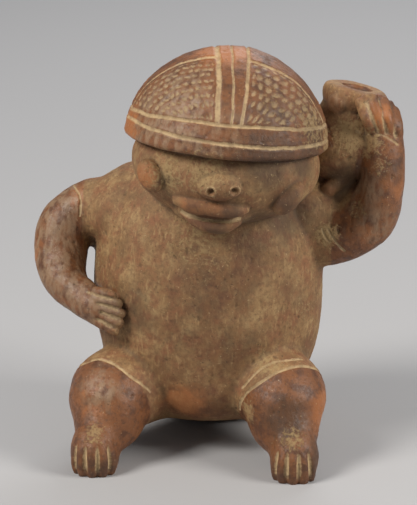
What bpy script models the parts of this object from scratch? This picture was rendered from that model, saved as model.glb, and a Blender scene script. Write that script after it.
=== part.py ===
"""Pottery figurine of a squatting person who holds a small jar on one shoulder.

The figure faces -Y and stands on +Z up, with its right hand on the hip at -X
and its raised left arm and the jar at +X.  It is one lump of clay: rolls, balls
and turned shapes are fused into one skin, and the jar's hollow, the flat soles
and the main incised lines are then cut into it.
"""
import math

import bmesh
import bpy
from mathutils import Euler, Matrix, Vector

# Sizes that can be set by themselves, in metres
HEIGHT = 0.150            # from the ground to the crown of the cap
JAR_WALL = 0.0026
JAR_MOUTH = 0.0096        # width of the round mouth
JAR_FLOOR = 0.0040        # thickness of clay under the hollow
INCISION = 0.0013         # width of a cut line
CLAY_GRAIN = 0.0011       # size of the cells that the rolls are fused with
FACETS = 5000             # triangles of the skin before it is cut

# Places and proportions below are hundredths of the height
HEAD = (4.9, -9.5, 76.2)              # middle of the cap's dome
HEAD_TURN = (-3.5, 4.8, 1.6)          # degrees about X, Y and Z
CAP_HALF = (24.3, 23.9, 23.8)
CAP_RIM = 3.4                         # the rim's height above the dome's middle
FACE = (5.0, -9.6, 72.6)
FACE_HALF = (22.3, 21.6, 13.8)

# Degrees above the dome's middle, with what is added on the right and at both sides
RIM_LINES = ((12.6, -1.9, 0.0), (23.3, 0.0, -4.5))
# Places across the dome in radii, with what is added at the top
CROWN_LINES = ((-0.172, 0.0), (-0.036, 0.0), (0.008, 0.118))
CROWN_YAW = 6.7                       # degrees that the crown's band is turned by
# Places towards the face in radii, with what is added at the side, and where each line ends
EAR_LINES = ((0.33, -0.19, 0.925), (-0.22, 0.27, 0.94))

NOSE = (5.2, -29.6, 72.4)
NOSE_HALF = (6.0, 3.8, 3.7)
NOSTRILS = ((3.1, -33.0, 71.4), (8.7, -33.0, 71.4))
RIGHT_EAR = (-11.7, -25.6, 73.0)
RIGHT_EAR_HALF = (3.0, 2.7, 4.4)
LEFT_EAR = (20.6, -23.6, 68.0)
LEFT_EAR_HALF = (2.7, 2.8, 4.9)
CHIN = (4.0, -20.6, 65.0)
CHIN_HALF = (11.0, 7.0, 4.6)
# A roll is a row of places, each with the roll's radius there
UPPER_LIP = ((-4.2, -26.2, 67.9, 1.9), (-1.2, -28.0, 67.2, 2.0), (2.5, -28.9, 66.8, 1.8),
             (6.7, -28.9, 66.2, 1.7), (9.4, -28.3, 66.0, 1.5), (11.8, -27.2, 66.2, 1.0))
LOWER_LIP = ((-3.4, -24.4, 64.6, 0.9), (-0.8, -26.2, 63.0, 1.3), (3.3, -27.0, 61.8, 1.5),
             (6.7, -26.8, 61.8, 1.4), (9.8, -25.8, 63.0, 0.9))
MOUTH_CUT = ((-3.9, -27.6, 65.5, 0.3), (-1.0, -28.6, 64.7, 0.5), (2.0, -29.2, 63.9, 0.6),
             (5.5, -29.4, 63.4, 0.6), (8.8, -28.8, 63.9, 0.5), (11.5, -27.6, 65.0, 0.3))

RIGHT_ARM = ((-22.0, 5.0, 57.0, 7.0), (-29.4, 4.6, 57.2, 6.1), (-34.9, 3.6, 52.6, 6.5),
             (-36.1, 1.0, 45.8, 6.6), (-34.0, -4.4, 40.6, 5.4), (-29.6, -9.0, 37.6, 4.4),
             (-26.0, -11.5, 36.5, 4.3))
LEFT_ARM = ((19.0, 3.4, 52.6, 7.4), (27.6, 1.8, 51.0, 6.7), (34.4, 0.2, 52.6, 5.9),
            (39.6, -1.0, 56.8, 5.5), (41.6, -0.8, 63.4, 5.4), (41.7, 0.4, 70.0, 5.2),
            (41.7, 1.8, 75.4, 4.9), (41.2, 3.4, 79.4, 4.2))
ELBOW_WEB = ((28.0, 2.0, 54.0, 4.2), (34.6, 0.6, 57.6, 4.2), (38.6, 0.4, 64.0, 3.4),
             (40.6, 1.0, 70.0, 2.4))
FINGER_RADII = (1.2, 1.4, 1.2)        # at the knuckle, the middle and the tip
FINGER_CUT_RADII = (0.2, 0.7, 0.8)

RIGHT_HIP = (-11.0, 2.0, 15.0)
RIGHT_KNEE = (-21.0, -12.0, 15.4)
RIGHT_KNEE_HALF = (11.3, 9.8, 9.9)
RIGHT_FOOT = (-25.0, -24.6, 4.6)
LEFT_HIP = (10.0, 2.0, 15.0)
LEFT_KNEE = (18.2, -12.0, 16.4)
LEFT_KNEE_HALF = (11.2, 9.8, 9.8)
LEFT_FOOT = (22.6, -24.6, 4.6)
FOOT_HALF = (6.0, 6.4, 7.4)
TOES = 5
TOE_SPREAD = 29.0                     # degrees from toe to toe
RIGHT_FINGERS = 5                     # with the thumb, which lies on top
LEFT_FINGERS = 4

JAR_MOUTH_PLACE = (35.0, 8.6, 86.9)
JAR_TURN = (-3.0, 13.0, 0.0)
JAR_HEIGHT = 24.0
JAR_BELLY = 10.4
JAR_BELLY_DROP = 0.60                 # how far down the jar its widest place lies, as a part of 1
JAR_NECK = 7.0
JAR_RIM = 8.0


def share(amount):
    return amount * HEIGHT / 100.0


def at(x, y, z):
    return Vector((x, y, z)) * (HEIGHT / 100.0)


def degrees(turn):
    return Euler([math.radians(angle) for angle in turn], "XYZ")


def clear_scene():
    for item in list(bpy.data.objects):
        bpy.data.objects.remove(item, do_unlink=True)


def new_collection(name):
    group = bpy.data.collections.new(name)
    bpy.context.scene.collection.children.link(group)
    return group


def ball(centre, half, turn=(0.0, 0.0, 0.0), fullness=1.0, fine=28):
    """A ball of clay with three half widths; under 1, fullness makes its sides upright."""
    shape = bmesh.new()
    bmesh.ops.create_uvsphere(shape, u_segments=fine, v_segments=fine // 2 + 2, radius=1.0)
    for vert in shape.verts:
        ring = math.hypot(vert.co.x, vert.co.y)
        if ring > 1e-6:
            vert.co.x *= ring ** (fullness - 1.0)
            vert.co.y *= ring ** (fullness - 1.0)
    size = Matrix.Diagonal((share(half[0]), share(half[1]), share(half[2]), 1.0))
    place = Matrix.Translation(at(*centre)) @ degrees(turn).to_matrix().to_4x4()
    bmesh.ops.transform(shape, matrix=place @ size, verts=shape.verts)
    mesh = bpy.data.meshes.new("ball")
    shape.to_mesh(mesh)
    shape.free()
    return mesh


def evaluated_mesh(item):
    """The object's mesh with its modifiers or bevel applied, in world space."""
    graph = bpy.context.evaluated_depsgraph_get()
    mesh = bpy.data.meshes.new_from_object(item.evaluated_get(graph), depsgraph=graph)
    mesh.transform(item.matrix_world)
    data = item.data
    bpy.data.objects.remove(item, do_unlink=True)
    if isinstance(data, bpy.types.Curve):
        bpy.data.curves.remove(data)
    shape = bmesh.new()
    shape.from_mesh(mesh)
    bmesh.ops.remove_doubles(shape, verts=shape.verts, dist=0.00001)
    shape.to_mesh(mesh)
    shape.free()
    return mesh


def roll(stations, smooth=True, sides=6, closed=False, steps=8):
    """A rolled coil of clay through stations of x, y, z and radius."""
    curve = bpy.data.curves.new("roll", "CURVE")
    curve.dimensions = "3D"
    curve.bevel_depth = share(1.0)
    curve.bevel_resolution = sides
    curve.resolution_u = steps
    curve.use_fill_caps = not closed
    spline = curve.splines.new("BEZIER" if smooth else "POLY")
    points = spline.bezier_points if smooth else spline.points
    points.add(len(stations) - 1)
    for point, (x, y, z, radius) in zip(points, stations):
        if smooth:
            point.co = at(x, y, z)
            point.handle_left_type = "AUTO"
            point.handle_right_type = "AUTO"
        else:
            point.co = (*at(x, y, z), 1.0)
        point.radius = radius
    spline.use_cyclic_u = closed
    if smooth:
        spline.radius_interpolation = "CARDINAL"
    item = bpy.data.objects.new("roll", curve)
    bpy.context.scene.collection.objects.link(item)
    return evaluated_mesh(item)


def turned(profile, sides=40):
    """A shape turned about Z from rows of radius and height, top row first."""
    mesh = bpy.data.meshes.new("turned")
    edges = [(i, i + 1) for i in range(len(profile) - 1)]
    mesh.from_pydata([(radius, 0.0, height) for radius, height in profile], edges, [])
    item = bpy.data.objects.new("turned", mesh)
    bpy.context.scene.collection.objects.link(item)
    screw = item.modifiers.new("Screw", "SCREW")
    screw.steps = sides
    screw.render_steps = sides
    screw.use_merge_vertices = True
    screw.merge_threshold = 0.00001
    bpy.context.view_layer.update()
    return evaluated_mesh(item)


def placed(centre, turn=(0.0, 0.0, 0.0)):
    return Matrix.Translation(at(*centre)) @ degrees(turn).to_matrix().to_4x4()


def on_cap(right, front, up):
    """A place on the cap's dome from a direction in the head's own axes."""
    length = math.sqrt(right * right + front * front + up * up)
    local = Vector((
        CAP_HALF[0] * right / length,
        -CAP_HALF[1] * front / length,
        CAP_HALF[2] * up / length,
    ))
    return Vector(HEAD) + degrees(HEAD_TURN).to_matrix() @ local


def rim_line(line, steps=36):
    middle, tilt, droop = line
    for step in range(steps):
        around = math.tau * step / steps
        right = math.sin(around)
        up = math.radians(middle + tilt * right + droop * right * right)
        yield on_cap(math.cos(up) * right, math.cos(up) * math.cos(around), math.sin(up))


def crown_line(line, steps=16):
    """From the rim's upper line in front, over the crown and down to it behind."""
    yaw = math.radians(CROWN_YAW)
    low = math.radians(RIM_LINES[1][0] + 1.0)
    for step in range(steps + 1):
        angle = low + (math.pi - 2.0 * low) * step / steps
        across = line[0] + line[1] * math.sin(angle)
        reach = math.sqrt(1.0 - across * across)
        front, up = reach * math.cos(angle), reach * math.sin(angle)
        yield on_cap(across * math.cos(yaw) + front * math.sin(yaw),
                     front * math.cos(yaw) - across * math.sin(yaw), up)


def ear_line(line, side, steps=8):
    """From the crown's band down to the rim's upper line on one side."""
    place, bend, last = line
    first = abs(sum(CROWN_LINES[-1 if side > 0 else 0]))
    for step in range(steps + 1):
        right = first + (last - first) * step / steps
        front = place + bend * right * right
        yield on_cap(side * right, front, math.sqrt(1.0 - right * right - front * front))


def incision(places, closed=False):
    stations = [(*place, INCISION / 2.0 / share(1.0)) for place in places]
    return roll(stations, smooth=False, sides=1, closed=closed)


def cap():
    """The dome from its crown down to the rolled rim, and in under the rim."""
    rim_angle = math.degrees(math.asin(CAP_RIM / CAP_HALF[2]))
    steps = 16
    angles = [math.radians((90.0 - rim_angle) * i / steps) for i in range(steps + 1)]
    rows = [(math.sin(angle), math.cos(angle)) for angle in angles]
    low = CAP_RIM / CAP_HALF[2]
    rows += [(0.997, low - 0.030), (0.985, low - 0.058), (0.955, low - 0.075), (0.0, low - 0.12)]
    mesh = turned(rows)
    size = Matrix.Diagonal((*[share(half) for half in CAP_HALF], 1.0))
    mesh.transform(placed(HEAD, HEAD_TURN) @ size)
    return mesh


def jar_profile():
    """The outside of the jar, from the top of its rim down to its base."""
    belly = -JAR_BELLY_DROP * JAR_HEIGHT
    rows = [
        (0.0, -0.2),
        (JAR_RIM - 1.4, 0.0),
        (JAR_RIM - 0.3, -0.6),
        (JAR_RIM, -1.8),
        (JAR_RIM - 0.3, -3.6),
        (JAR_NECK, -4.9),
        (JAR_BELLY - 2.2, -7.8),
        (JAR_BELLY - 0.5, -10.8),
        (JAR_BELLY, belly),
        (JAR_BELLY - 1.2, belly - 4.0),
        (JAR_BELLY - 4.4, belly - 8.2),
        (0.0, -JAR_HEIGHT),
    ]
    return [(share(radius), share(height)) for radius, height in rows]


def jar_hollow_profile():
    """The hollow: the outside drawn in by the wall, and the mouth above it."""
    mouth = JAR_MOUTH / 2.0
    belly = share(JAR_BELLY) - JAR_WALL
    middle = -JAR_BELLY_DROP * share(JAR_HEIGHT)
    return [
        (0.0, share(3.0)),
        (mouth + share(1.4), share(3.0)),
        (mouth + share(0.8), share(0.2)),
        (mouth + share(0.2), share(-1.0)),
        (mouth, share(-2.4)),
        (mouth, share(-5.0)),
        (belly - share(2.2), share(-8.2)),
        (belly, middle),
        (belly - share(1.2), middle - share(3.4)),
        (belly - share(4.4), share(-JAR_HEIGHT) + JAR_FLOOR + share(2.0)),
        (0.0, share(-JAR_HEIGHT) + JAR_FLOOR),
    ]


def jar():
    mesh = turned(jar_profile())
    mesh.transform(placed(JAR_MOUTH_PLACE, JAR_TURN))
    return [
        mesh,
        ball((30.4, 2.4, 84.2), (2.4, 1.7, 2.5), turn=(0, 12, -30)),
        roll([(35.0, 5.0, 68.0, 2.4), (32.0, 2.4, 65.8, 2.3), (29.2, 0.6, 63.8, 2.0)]),
        ball((29.0, 0.5, 63.7), (2.1, 2.0, 2.0)),
    ]


def torso():
    return [
        ball((-0.3, 3.6, 38.0), (28.0, 23.0, 33.2), fullness=0.62, fine=40),
        ball((0.0, 14.6, 14.4), (23.5, 13.6, 14.9), fullness=0.85),
        ball((0.4, -5.0, 18.0), (15.5, 12.0, 11.4)),
        ball((-16.0, 5.0, 58.6), (17.0, 12.0, 9.6), turn=(0, -20, 0)),
        ball((21.0, 7.0, 57.0), (14.0, 12.0, 10.0)),
        ball((-27.0, 7.0, 54.0), (8.0, 5.0, 8.4)),
        ball((33.0, 4.5, 60.5), (6.0, 4.5, 5.5)),
    ]


def face():
    return [
        ball(FACE, FACE_HALF, HEAD_TURN, fine=40),
        ball(CHIN, CHIN_HALF),
        ball(NOSE, NOSE_HALF, fullness=0.75),
        roll(UPPER_LIP),
        ball(UPPER_LIP[0][:3], [UPPER_LIP[0][3]] * 3, fine=16),
        roll(LOWER_LIP),
        ball(RIGHT_EAR, RIGHT_EAR_HALF, turn=(0, -30, -34)),
        ball(LEFT_EAR, LEFT_EAR_HALF, turn=(0, 50, 34)),
    ]


def right_finger(index):
    """The knuckle, middle and tip of a finger on the hip; index 0 is the thumb."""
    knuckle = Vector((-27.4 - 0.5 * index, -11.9 + 0.1 * index, 41.2 - 1.5 * index))
    tip = Vector((-21.4 + 1.9 * math.sin(math.pi * index / 4.6), -15.0, 41.0 - 2.5 * index))
    return knuckle, (knuckle + tip) / 2.0 + Vector((0.0, -0.7, 0.1)), tip


def left_finger(across):
    """The knuckle, middle and tip of a finger on the jar; across runs from 0 to 1."""
    knuckle = Vector((39.2 + 6.6 * across, -0.8 - 2.0 * across + 3.0 * across ** 2,
                      78.6 + 1.6 * across - 3.6 * across ** 2))
    tip = Vector((36.2 + 8.0 * across, -0.6 + 4.6 * across ** 1.5,
                  85.0 + 5.6 * across - 8.4 * across ** 2))
    return knuckle, (knuckle + tip) / 2.0 - Vector((0.0, 1.1, 0.0)), tip


def finger(places):
    """A finger's roll with a round tip."""
    return [roll([(*place, radius) for place, radius in zip(places, FINGER_RADII)]),
            ball(places[-1], [FINGER_RADII[-1]] * 3, fine=12)]


def right_arm():
    parts = [roll(RIGHT_ARM), ball((-26.8, -10.6, 37.0), (3.4, 3.2, 5.4), turn=(0, -14, -35)),
             ball((-29.0, -8.5, 40.2), (2.9, 2.9, 2.9), fine=16)]
    for index in range(RIGHT_FINGERS):
        parts += finger(right_finger(index))
    return parts


def left_arm():
    parts = [roll(LEFT_ARM), roll(ELBOW_WEB), ball((40.8, 2.2, 80.6), (3.6, 2.6, 3.4))]
    for index in range(LEFT_FINGERS):
        parts += finger(left_finger(index / (LEFT_FINGERS - 1.0)))
    return parts


def toe_place(foot, foot_half, turn, out):
    """A place in front of a foot's middle, out from its surface by a share."""
    around = math.radians(turn)
    return (foot[0] + (foot_half[0] + out) * math.sin(around),
            foot[1] - (foot_half[1] + out) * math.cos(around))


def leg(hip, knee, knee_half, foot, foot_half):
    middle = [(a + b) / 2.0 for a, b in zip(knee, foot)]
    parts = [
        roll([(*hip, 10.0), (*knee, 10.6), (*middle, 8.9),
              (foot[0], foot[1] + 1.8, foot[2] + 2.2, 6.0)]),
        ball(knee, knee_half),
        ball(foot, foot_half, fullness=0.8),
    ]
    for index in range(TOES):
        turn = TOE_SPREAD * (index - (TOES - 1) / 2.0)
        parts.append(ball((*toe_place(foot, foot_half, turn, -1.2), 3.6), (1.6, 1.6, 4.6)))
    return parts


def toe_grooves(foot, foot_half):
    """The cuts that part the toes."""
    for index in range(TOES - 1):
        turn = TOE_SPREAD * (index - (TOES - 2) / 2.0)
        low = toe_place(foot, foot_half, turn, 0.3)
        high = toe_place(foot, foot_half, turn, 0.1)
        yield roll([(*low, -1.0, 0.6), (*low, 3.0, 0.75), (*high, 8.0, 0.4)], smooth=False, sides=1)


def finger_grooves():
    """The cuts between neighbouring fingers of both hands, in front of their middle lines."""
    gaps = [right_finger(index + 0.5) for index in range(RIGHT_FINGERS - 1)]
    gaps += [left_finger((index + 0.5) / (LEFT_FINGERS - 1.0)) for index in range(LEFT_FINGERS - 1)]
    for places in gaps:
        yield roll([(x, y - 1.1, z, radius) for (x, y, z), radius in zip(places, FINGER_CUT_RADII)],
                   smooth=False, sides=1)


def fused(meshes):
    """One object that holds every roll and ball."""
    body = bmesh.new()
    for mesh in meshes:
        body.from_mesh(mesh)
        bpy.data.meshes.remove(mesh)
    whole = bpy.data.meshes.new("figurine")
    body.to_mesh(whole)
    body.free()
    return bpy.data.objects.new("figurine", whole)


def ground():
    """Everything below the surface that the figure stands on."""
    shape = bmesh.new()
    bmesh.ops.create_cube(shape, size=2.0 * HEIGHT)
    bmesh.ops.translate(shape, verts=shape.verts, vec=(0.0, 0.0, -HEIGHT))
    mesh = bpy.data.meshes.new("ground")
    shape.to_mesh(mesh)
    shape.free()
    return mesh


def jar_hollow():
    mesh = turned(jar_hollow_profile(), sides=24)
    mesh.transform(placed(JAR_MOUTH_PLACE, JAR_TURN))
    return mesh


def cut_shapes():
    """Every shape that is cut away, by name."""
    shapes = {"ground": ground(), "jar_hollow": jar_hollow()}
    for index, line in enumerate(RIM_LINES):
        shapes[f"rim_line_{index}"] = incision(rim_line(line), closed=True)
    for index, line in enumerate(CROWN_LINES):
        shapes[f"crown_line_{index}"] = incision(crown_line(line))
    for index, line in enumerate(EAR_LINES):
        for side in (-1, 1):
            shapes[f"ear_line_{index}_{side}"] = incision(ear_line(line, side))
    for index, place in enumerate(NOSTRILS):
        shapes[f"nostril_{index}"] = ball(place, (0.9, 1.2, 0.9), fine=8)
    shapes["mouth"] = roll(MOUTH_CUT, smooth=False, sides=1)
    grooves = [*toe_grooves(RIGHT_FOOT, FOOT_HALF), *toe_grooves(LEFT_FOOT, FOOT_HALF),
               *finger_grooves()]
    for index, groove in enumerate(grooves):
        shapes[f"groove_{index}"] = groove
    return shapes


def triangle_count(item):
    graph = bpy.context.evaluated_depsgraph_get()
    mesh = item.evaluated_get(graph).to_mesh()
    mesh.calc_loop_triangles()
    return len(mesh.loop_triangles)


def footprint_middle(item):
    """The middle of the object's outline seen from above."""
    graph = bpy.context.evaluated_depsgraph_get()
    places = [vert.co for vert in item.evaluated_get(graph).to_mesh().vertices]
    wide = [place.x for place in places]
    deep = [place.y for place in places]
    return Vector(((min(wide) + max(wide)) / 2.0, (min(deep) + max(deep)) / 2.0, 0.0))


def clay():
    material = bpy.data.materials.new("fired_clay")
    material.use_nodes = True
    shader = material.node_tree.nodes["Principled BSDF"]
    shader.inputs["Base Color"].default_value = (0.40, 0.25, 0.15, 1.0)
    shader.inputs["Roughness"].default_value = 0.62
    shader.inputs["Metallic"].default_value = 0.0
    return material


def build_figurine(parts, cutters):
    meshes = torso() + [cap()] + face() + right_arm() + left_arm() + jar()
    meshes += leg(RIGHT_HIP, RIGHT_KNEE, RIGHT_KNEE_HALF, RIGHT_FOOT, FOOT_HALF)
    meshes += leg(LEFT_HIP, LEFT_KNEE, LEFT_KNEE_HALF, LEFT_FOOT, FOOT_HALF)
    item = fused(meshes)
    parts.objects.link(item)
    item.data.materials.append(clay())

    remesh = item.modifiers.new("Fuse", "REMESH")
    remesh.mode = "VOXEL"
    remesh.voxel_size = CLAY_GRAIN
    remesh.use_smooth_shade = True
    soften = item.modifiers.new("Soften", "SMOOTH")
    soften.factor = 0.5
    soften.iterations = 3
    bpy.context.view_layer.update()
    facets = item.modifiers.new("Facets", "DECIMATE")
    facets.ratio = FACETS / triangle_count(item)
    facets.use_collapse_triangulate = True

    bpy.context.view_layer.update()
    item.location = -footprint_middle(item)

    for name, mesh in cut_shapes().items():
        cutter = bpy.data.objects.new(name, mesh)
        cutter.parent = item
        cutter.hide_render = True
        cutter.display_type = "WIRE"
        cutters.objects.link(cutter)
        cut = item.modifiers.new("Cut " + name, "BOOLEAN")
        cut.operation = "DIFFERENCE"
        cut.object = cutter
    return item


clear_scene()
build_figurine(new_collection("pottery_figurine"), new_collection("cutters"))
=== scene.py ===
# %% [markdown]
# # A squatting pottery figure with a jar on its shoulder
# The real figure is one lump of fired clay. Its maker pressed rolls and balls of clay into one skin,
# rubbed red slip over parts of it, polished the slip with a pebble, and cut lines and dots through it
# with a pointed tool. White earth from the ground still fills the cuts. The cells below go the same way:
# rolls and balls, one skin, cuts, wear, and then the colours of slip, polish, smoke and earth.

# %% Tools and the fixed frame
import math

import bmesh
import bpy
import numpy as np
from mathutils import Euler, Matrix, Vector


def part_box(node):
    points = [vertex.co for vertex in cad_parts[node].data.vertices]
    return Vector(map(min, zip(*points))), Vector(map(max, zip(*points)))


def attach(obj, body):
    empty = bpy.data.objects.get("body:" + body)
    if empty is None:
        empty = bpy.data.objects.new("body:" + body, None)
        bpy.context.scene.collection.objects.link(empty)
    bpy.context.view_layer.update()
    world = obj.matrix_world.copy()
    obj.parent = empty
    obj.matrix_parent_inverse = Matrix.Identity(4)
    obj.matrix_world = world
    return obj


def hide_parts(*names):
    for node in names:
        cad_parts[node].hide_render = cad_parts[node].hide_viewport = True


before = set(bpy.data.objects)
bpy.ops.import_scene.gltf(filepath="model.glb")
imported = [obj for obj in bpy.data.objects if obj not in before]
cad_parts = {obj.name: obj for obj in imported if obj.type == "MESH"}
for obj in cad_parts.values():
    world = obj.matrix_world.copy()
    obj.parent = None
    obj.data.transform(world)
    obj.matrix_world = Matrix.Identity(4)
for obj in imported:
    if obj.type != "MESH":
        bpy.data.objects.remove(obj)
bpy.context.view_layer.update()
node_low, node_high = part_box("figurine")
UNIT = node_high.z / 100.0
print(f"the figure is {node_high.z * 1000:.1f} mm tall, so one unit is {UNIT * 1000:.2f} mm")

# %% [markdown]
# ## Camera
# The figure was seen from a little above its cap and a few degrees to one side, from about a metre away.
# A long lens on a camera that circles a point in the chest gives that view. Its focal length follows
# from how much of the figure one pixel of the 417 by 505 frame covers.

# %% Camera
AZIMUTH = math.radians(5.0)
ELEVATION = math.radians(17.0)
DISTANCE = 1.0
PIXEL = 0.000362
FRAME_HEIGHT = 505
AIM = Vector((-0.0032, 0.0041, 0.0706))


def make_camera():
    data = bpy.data.cameras.new("camera")
    data.sensor_fit = "VERTICAL"
    data.sensor_height = 36.0
    data.lens = data.sensor_height * DISTANCE / (PIXEL * FRAME_HEIGHT)
    data.clip_start = 0.05
    data.clip_end = 20.0
    camera = bpy.data.objects.new("camera", data)
    back = Vector((math.sin(AZIMUTH) * math.cos(ELEVATION),
                   -math.cos(AZIMUTH) * math.cos(ELEVATION), math.sin(ELEVATION)))
    camera.location = AIM + back * DISTANCE
    camera.rotation_euler = back.to_track_quat("Z", "Y").to_euler()
    bpy.context.scene.collection.objects.link(camera)
    bpy.context.scene.camera = camera
    return camera


camera = make_camera()
print(f"lens of {camera.data.lens:.0f} mm")

# %% [markdown]
# ## Rolls and balls
# Every form of the figure starts as a ball, a roll or a turned shape. A ball is a round primitive with
# three half widths. A roll is a disc that is extruded along a smooth curve, and each step turns it to the
# curve and gives it the curve's thickness. A turned shape is a row of points that is spun round an axis.
# Everything is measured in hundredths of the figure's height, so its proportions read as percentages.

# %% Helpers for clay shapes
def degrees(turn):
    return Euler([math.radians(angle) for angle in turn], "XYZ")


def placed(centre, turn=(0.0, 0.0, 0.0)):
    return Matrix.Translation(centre) @ degrees(turn).to_matrix().to_4x4()


def as_mesh(shape):
    bmesh.ops.recalc_face_normals(shape, faces=shape.faces)
    mesh = bpy.data.meshes.new("clay")
    shape.to_mesh(mesh)
    shape.free()
    return mesh


def ball(centre, half, turn=(0.0, 0.0, 0.0), fullness=1.0):
    """A ball of clay with three half widths; under 1, fullness makes its sides upright."""
    shape = bmesh.new()
    bmesh.ops.create_uvsphere(shape, u_segments=48, v_segments=26, radius=1.0)
    for vert in shape.verts:
        ring = math.hypot(vert.co.x, vert.co.y)
        if ring > 1e-6:
            vert.co.x *= ring ** (fullness - 1.0)
            vert.co.y *= ring ** (fullness - 1.0)
    size = Matrix.Diagonal((*half, 1.0))
    bmesh.ops.transform(shape, matrix=placed(centre, turn) @ size, verts=shape.verts)
    return as_mesh(shape)


def smooth_path(stations, steps=8):
    """Places and radii on a curve that runs through every station."""
    knots = [Vector(station) for station in stations]
    knots = [2 * knots[0] - knots[1], *knots, 2 * knots[-1] - knots[-2]]
    path = []
    for before, start, end, after in zip(knots, knots[1:], knots[2:], knots[3:]):
        for step in range(steps):
            t = step / steps
            path.append(0.5 * (2 * start + (end - before) * t
                               + (2 * before - 5 * start + 4 * end - after) * t ** 2
                               + (3 * start - before - 3 * end + after) * t ** 3))
    return path + [knots[-2]]


def roll(stations):
    """A rolled coil of clay through stations of x, y, z and radius."""
    path = smooth_path(stations)
    turn = Vector((0.0, 0.0, 1.0)).rotation_difference((path[1] - path[0]).xyz)
    shape = bmesh.new()
    ring = bmesh.ops.create_circle(shape, cap_ends=True, segments=28, radius=1.0)["verts"]
    cap = ring[0].link_faces[0]
    before = Matrix.Identity(4)
    for index, station in enumerate(path):
        ahead = path[min(index + 1, len(path) - 1)] - path[max(index - 1, 0)]
        turn = (turn @ Vector((0.0, 0.0, 1.0))).rotation_difference(ahead.xyz) @ turn
        place = (Matrix.Translation(station.xyz) @ turn.to_matrix().to_4x4()
                 @ Matrix.Diagonal((station.w, station.w, station.w, 1.0)))
        if index:
            grown = bmesh.ops.extrude_face_region(shape, geom=[cap])["geom"]
            ring = [item for item in grown if isinstance(item, bmesh.types.BMVert)]
            cap = next(item for item in grown if isinstance(item, bmesh.types.BMFace))
        bmesh.ops.transform(shape, matrix=place @ before.inverted(), verts=ring)
        before = place
    return as_mesh(shape)


def turned(rows, place, steps=72):
    """A shape turned about its own Z from rows of radius and height."""
    shape = bmesh.new()
    verts = [shape.verts.new((radius, 0.0, height)) for radius, height in rows]
    edges = [shape.edges.new(pair) for pair in zip(verts, verts[1:])]
    bmesh.ops.spin(shape, geom=verts + edges, axis=(0, 0, 1), cent=(0, 0, 0),
                   angle=math.tau, steps=steps, use_merge=True)
    bmesh.ops.remove_doubles(shape, verts=shape.verts, dist=0.0001)
    bmesh.ops.transform(shape, matrix=place, verts=shape.verts)
    return as_mesh(shape)


# %% [markdown]
# ## Head and cap
# The cap is a dome with a rolled rim, turned from one profile and tipped a little forward. The face below
# it is a full ball that the rim overhangs. The nose is a short block, each lip is a thin roll, and the
# ears are two pellets pressed on at a slant. There are no eyes: the maker left them out.

# %% Head
HEAD = (4.9, -9.5, 76.2)
HEAD_TURN = (-3.5, 4.8, 1.6)
CAP_HALF = (24.3, 23.9, 23.8)
CAP_RIM = 3.4
CAP_STEPS = 24
FACE = (5.0, -9.6, 72.6)
FACE_HALF = (22.3, 21.6, 13.8)
CHIN = (4.0, -20.6, 65.0)
CHIN_HALF = (11.0, 7.0, 4.6)
NOSE = (5.3, -29.4, 72.2)
NOSE_HALF = (5.4, 3.6, 3.3)
RIGHT_EAR = (-11.0, -26.0, 73.1)
RIGHT_EAR_HALF = (2.9, 2.7, 4.1)
LEFT_EAR = (20.6, -23.6, 68.0)
LEFT_EAR_HALF = (2.7, 2.8, 4.9)
UPPER_LIP = [(-4.2, -26.2, 67.9, 1.9), (-1.2, -28.0, 67.2, 2.0), (2.5, -28.9, 66.8, 1.8),
             (6.7, -28.9, 66.2, 1.7), (9.4, -28.3, 66.0, 1.5), (11.8, -27.2, 66.2, 1.0)]
LOWER_LIP = [(-3.4, -24.4, 64.6, 0.9), (-0.8, -26.2, 63.0, 1.4), (3.3, -27.1, 61.8, 1.6),
             (6.7, -26.9, 61.8, 1.5), (9.8, -25.7, 63.0, 0.9)]


def cap():
    """The dome from its crown down to the rolled rim, and in under the rim."""
    low = CAP_RIM / CAP_HALF[2]
    last = math.pi / 2.0 - math.asin(low)
    turns = [last * step / CAP_STEPS for step in range(CAP_STEPS + 1)]
    rows = [(math.sin(turn), math.cos(turn)) for turn in turns]
    rows += [(0.997, low - 0.030), (0.985, low - 0.058), (0.955, low - 0.075), (0.0, low - 0.12)]
    return turned(rows, placed(HEAD, HEAD_TURN) @ Matrix.Diagonal((*CAP_HALF, 1.0)))


def head():
    return [
        cap(),
        ball(FACE, FACE_HALF, HEAD_TURN),
        ball(CHIN, CHIN_HALF),
        ball(NOSE, NOSE_HALF, fullness=0.85),
        roll(UPPER_LIP),
        ball(UPPER_LIP[0][:3], (1.9, 1.9, 1.9)),
        roll(LOWER_LIP),
        ball(RIGHT_EAR, RIGHT_EAR_HALF, turn=(0, -30, -34)),
        ball(LEFT_EAR, LEFT_EAR_HALF, turn=(0, 50, 34)),
    ]


# %% [markdown]
# ## Body and arms
# The body is one upright, egg-shaped ball with a second one behind, which the figure sits on. The right
# arm bends out to an elbow and back, and its hand lies on the hip with five rolls for digits. The left
# arm rises beside the head, and its fingers close round the jar's rim. Lower rolls behind the gaps keep
# the fingers of that hand in one flat lump.

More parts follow.
